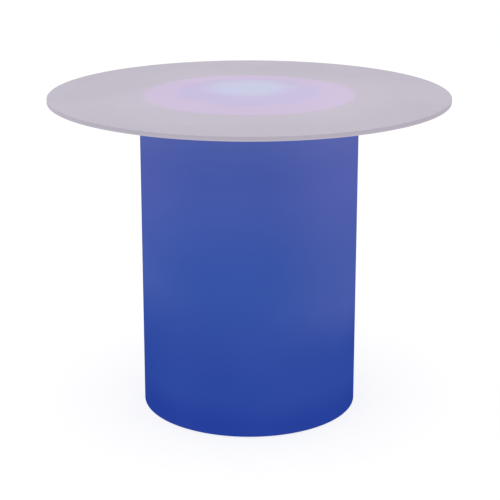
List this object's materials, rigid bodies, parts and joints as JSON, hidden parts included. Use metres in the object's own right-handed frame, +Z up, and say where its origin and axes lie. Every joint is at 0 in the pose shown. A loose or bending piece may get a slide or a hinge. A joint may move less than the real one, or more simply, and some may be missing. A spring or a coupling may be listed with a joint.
{
  "type": "cafe table",
  "caption": "Round cafe table with a thin frosted top that lifts off a thick, internally lit opal column on levelling glides.",
  "frame": {"origin": "on the floor, on the column's axis", "axes": "+Z up, -Y the side the picture was taken from, +X to the right seen from there"},
  "size_m": [0.915, 0.915, 0.737],
  "materials": {
    "frosted_acrylic": "satin frosted, lit from below",
    "lit_column": "satin opal, lit blue from inside",
    "opal_acrylic": "satin opal",
    "clear_acrylic": "polished clear",
    "plate": "fine matt grain",
    "steel": "zinc plated",
    "brass": "turned",
    "nylon": "moulded",
    "housing": "fine spark texture",
    "rubber": "moulded",
    "diffuser": "satin diffusing",
    "circuit_board": "solder mask",
    "light_board": "white solder mask",
    "cell_sleeve": "heat-shrink sleeve",
    "dark_plastic": "moulded",
    "lead_insulation": "extruded"
  },
  "bodies": {
    "column": {"column_tube": "lit_column", "top_flange": "opal_acrylic", "top_bumper_1": "clear_acrylic", "top_bumper_2": "clear_acrylic", "top_bumper_3": "clear_acrylic", "top_bumper_4": "clear_acrylic", "top_bumper_5": "clear_acrylic", "top_bumper_6": "clear_acrylic", "bottom_ring": "opal_acrylic", "base_plate": "plate", "base_screw_1": "steel", "base_screw_2": "steel", "base_screw_3": "steel", "base_screw_4": "steel", "base_screw_5": "steel", "base_screw_6": "steel", "glide_insert_1": "brass", "glide_insert_2": "brass", "glide_insert_3": "brass", "glide_insert_4": "brass", "lamp_housing": "housing", "lamp_gasket": "rubber", "lamp_screw_1": "steel", "lamp_screw_2": "steel", "lamp_screw_3": "steel", "lamp_screw_4": "steel", "lamp_screw_5": "steel", "lamp_screw_6": "steel", "control_cup": "housing", "power_switch": "dark_plastic", "charge_inlet": "dark_plastic", "cap_pin": "steel", "control_board": "circuit_board", "board_screw_1": "steel", "board_screw_2": "steel", "battery_tray": "dark_plastic", "battery_cell_1": "cell_sleeve", "battery_cell_2": "cell_sleeve", "battery_cell_3": "cell_sleeve", "battery_lead": "lead_insulation", "light_lead": "lead_insulation", "light_board": "light_board", "remote_receiver": "dark_plastic", "light_board_screw_1": "steel", "light_board_screw_2": "steel", "light_board_screw_3": "steel", "light_board_screw_4": "steel", "lamp_lens": "diffuser"},
    "top": {"table_top": "frosted_acrylic", "locating_ring": "clear_acrylic"},
    "pad_1": {"glide_pad_1": "nylon"},
    "pad_2": {"glide_pad_2": "nylon"},
    "pad_3": {"glide_pad_3": "nylon"},
    "pad_4": {"glide_pad_4": "nylon"},
    "stud_1": {"glide_stud_1": "steel"},
    "stud_2": {"glide_stud_2": "steel"},
    "stud_3": {"glide_stud_3": "steel"},
    "stud_4": {"glide_stud_4": "steel"},
    "button": {"power_button": "rubber"},
    "cap": {"inlet_cap": "rubber"}
  },
  "joints": [
    {"name": "top_lift", "type": "slide", "parent": "column", "child": "top", "axis": [0, 0, 1], "range_m": [0, 0.3]},
    {"name": "glide_1_height", "type": "slide", "parent": "column", "child": "pad_1", "axis": [0, 0, 1], "range_m": [-0.008, 0]},
    {"name": "glide_2_height", "type": "slide", "parent": "column", "child": "pad_2", "axis": [0, 0, 1], "range_m": [-0.008, 0]},
    {"name": "glide_3_height", "type": "slide", "parent": "column", "child": "pad_3", "axis": [0, 0, 1], "range_m": [-0.008, 0]},
    {"name": "glide_4_height", "type": "slide", "parent": "column", "child": "pad_4", "axis": [0, 0, 1], "range_m": [-0.008, 0]},
    {"name": "glide_1_turn", "type": "hinge", "parent": "pad_1", "child": "stud_1", "pos_m": [0.13838, 0.13838, 0.0083], "axis": [0, 0, 1], "range_deg": [-2300, 0]},
    {"name": "glide_2_turn", "type": "hinge", "parent": "pad_2", "child": "stud_2", "pos_m": [-0.13838, 0.13838, 0.0083], "axis": [0, 0, 1], "range_deg": [-2300, 0]},
    {"name": "glide_3_turn", "type": "hinge", "parent": "pad_3", "child": "stud_3", "pos_m": [-0.13838, -0.13838, 0.0083], "axis": [0, 0, 1], "range_deg": [-2300, 0]},
    {"name": "glide_4_turn", "type": "hinge", "parent": "pad_4", "child": "stud_4", "pos_m": [0.13838, -0.13838, 0.0083], "axis": [0, 0, 1], "range_deg": [-2300, 0]},
    {"name": "button_press", "type": "slide", "parent": "column", "child": "button", "axis": [0, 0, 1], "range_m": [0, 0.0015], "stiffness_N_per_m": 800, "springref_m": -0.0015},
    {"name": "cap_swing", "type": "hinge", "parent": "column", "child": "cap", "pos_m": [0.019, -0.0326, 0.0262], "axis": [0, -1, 0], "range_deg": [0, 90]}
  ],
  "couplings": [
    {"joint": "glide_1_height", "follows": "glide_1_turn", "m_per_rad": 0.00019894},
    {"joint": "glide_2_height", "follows": "glide_2_turn", "m_per_rad": 0.00019894},
    {"joint": "glide_3_height", "follows": "glide_3_turn", "m_per_rad": 0.00019894},
    {"joint": "glide_4_height", "follows": "glide_4_turn", "m_per_rad": 0.00019894}
  ]
}
